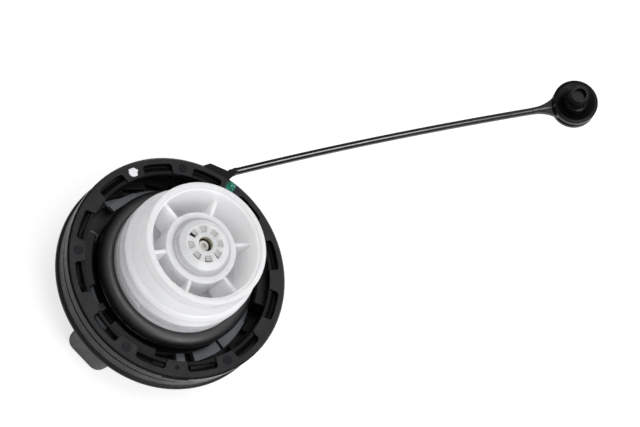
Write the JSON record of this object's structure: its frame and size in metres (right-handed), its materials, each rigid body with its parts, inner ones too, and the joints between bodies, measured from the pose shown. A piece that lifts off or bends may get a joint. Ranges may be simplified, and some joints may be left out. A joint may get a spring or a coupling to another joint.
{
  "type": "fuel filler cap",
  "caption": "Screw-in fuel filler cap with a grip bar, ratchet torque limiter, relief and vacuum valve, ring seal and a clip-on tether that ends in a plug button.",
  "frame": {"origin": "middle of the grip's flat end, on which the cap stands", "axes": "+Z along the cap's axis towards the threaded nose, Y along the grip, X across it"},
  "size_m": [0.1056, 0.2006, 0.0685],
  "materials": {
    "cover_black": "fine grained black moulding",
    "housing_black": "satin black moulding",
    "tether_black": "satin black moulding",
    "plate_grey": "semi-gloss dark grey moulding",
    "closure_white": "satin natural white acetal",
    "cover_white": "satin warm white acetal",
    "gasket_black": "smooth satin black rubber",
    "seal_black": "matt black rubber",
    "plate_brass": "olive passivated sheet brass",
    "plunger_grey": "matt grey moulding",
    "retainer_white": "satin white moulding",
    "spring_steel": "bright spring wire"
  },
  "bodies": {
    "cover": {"outer_cover": "cover_black", "ratchet_housing": "housing_black"},
    "closure": {"closure_body": "closure_white", "torque_plate": "plate_grey", "neck_gasket": "gasket_black", "valve_cover": "cover_white", "spring_retainer": "retainer_white"},
    "tether": {"tether": "tether_black"},
    "relief_valve": {"pressure_plate": "plate_brass", "pressure_seal": "seal_black", "pressure_spring": "spring_steel", "vacuum_seal": "seal_black"},
    "vacuum_valve": {"vacuum_valve": "plunger_grey", "stem_clip": "spring_steel", "vacuum_spring": "spring_steel"}
  },
  "joints": [
    {"name": "ratchet_turn", "type": "hinge", "parent": "cover", "child": "closure", "pos_m": [0, 0, 0.017], "axis": [0, 0, 1], "continuous": true},
    {"name": "tether_turn", "type": "hinge", "parent": "cover", "child": "tether", "pos_m": [0, 0, 0.026], "axis": [0, 0, 1], "continuous": true},
    {"name": "relief_open", "type": "slide", "parent": "closure", "child": "relief_valve", "axis": [0, 0, -1], "range_m": [0, 0.0024], "stiffness_N_per_m": 400, "springref_m": -0.004, "deforming": ["pressure_spring"]},
    {"name": "vacuum_open", "type": "slide", "parent": "relief_valve", "child": "vacuum_valve", "axis": [0, 0, 1], "range_m": [0, 0.0018], "stiffness_N_per_m": 60, "springref_m": -0.003, "deforming": ["vacuum_spring"]}
  ]
}
